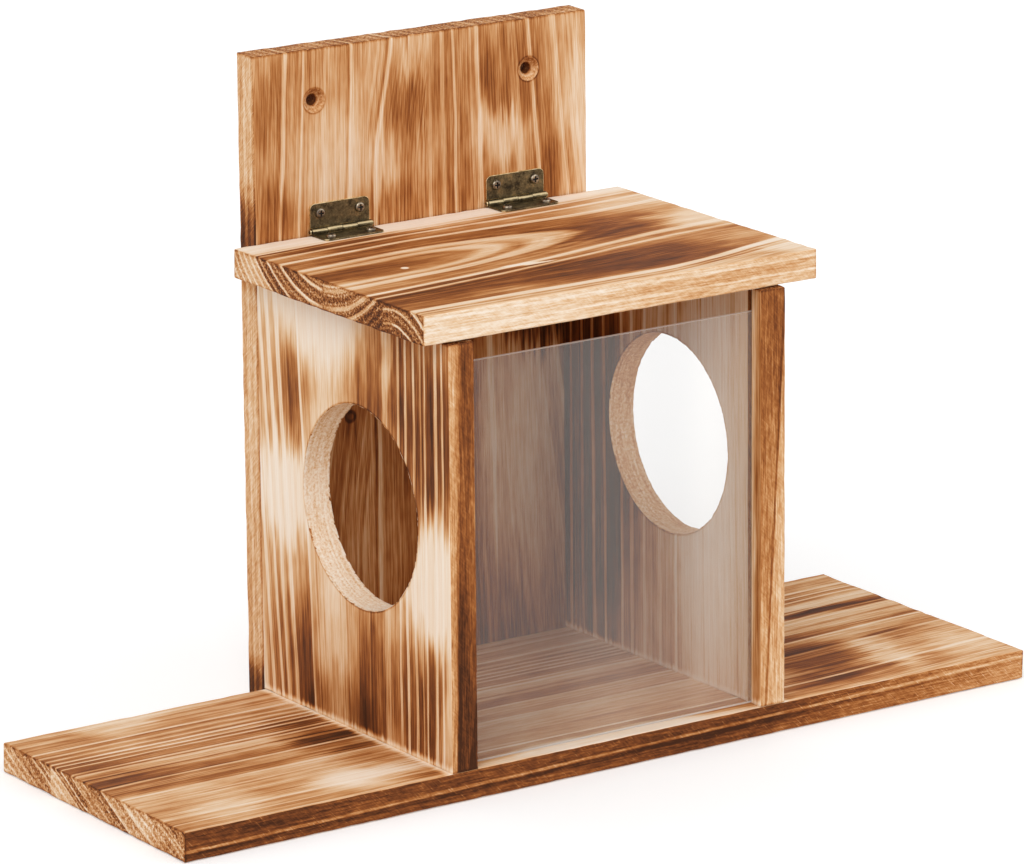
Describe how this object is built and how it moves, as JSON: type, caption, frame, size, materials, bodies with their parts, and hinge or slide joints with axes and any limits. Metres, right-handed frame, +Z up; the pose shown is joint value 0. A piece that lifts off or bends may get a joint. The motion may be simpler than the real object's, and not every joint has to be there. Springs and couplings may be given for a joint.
{
  "type": "squirrel feeder box",
  "caption": "Wall-hung wooden feeder box with a hinged lid, a sliding clear front pane, round entry holes in both sides and a landing board.",
  "frame": {"origin": "under the middle of the whole feeder, on the surface that the base board stands on", "axes": "+X right along the base board seen from the front, +Y from the window to the wall, +Z up"},
  "size_m": [0.4, 0.148, 0.27],
  "materials": {
    "torched_softwood": "flame-torched bare softwood, cream to dark brown, with open grain",
    "clear_acrylic": "clear polished acrylic sheet with a faint haze",
    "antique_brass": "antique brass, darkened in the faces and worn pale on the edges",
    "browned_steel": "browned steel",
    "zinc_plated_steel": "bright zinc plating"
  },
  "bodies": {
    "frame": {"base_board": "torched_softwood", "back_board": "torched_softwood", "left_side_panel": "torched_softwood", "right_side_panel": "torched_softwood", "left_panel_base_screws": "zinc_plated_steel", "right_panel_base_screws": "zinc_plated_steel", "left_panel_back_screws": "zinc_plated_steel", "right_panel_back_screws": "zinc_plated_steel", "base_back_screws": "zinc_plated_steel", "left_hinge_back_leaf": "antique_brass", "left_hinge_pin": "antique_brass", "left_hinge_back_screws": "browned_steel", "right_hinge_back_leaf": "antique_brass", "right_hinge_pin": "antique_brass", "right_hinge_back_screws": "browned_steel"},
    "lid": {"lid_board": "torched_softwood", "left_hinge_lid_leaf": "antique_brass", "left_hinge_lid_screws": "browned_steel", "right_hinge_lid_leaf": "antique_brass", "right_hinge_lid_screws": "browned_steel"},
    "window": {"window_pane": "clear_acrylic"}
  },
  "joints": [
    {"name": "lid_hinge", "type": "hinge", "parent": "frame", "child": "lid", "pos_m": [0, 0.0603, 0.1966], "axis": [-1, 0, 0], "range_deg": [0, 84]},
    {"name": "window_slide", "type": "slide", "parent": "frame", "child": "window", "axis": [0, 0, 1], "range_m": [0, 0.01]}
  ]
}
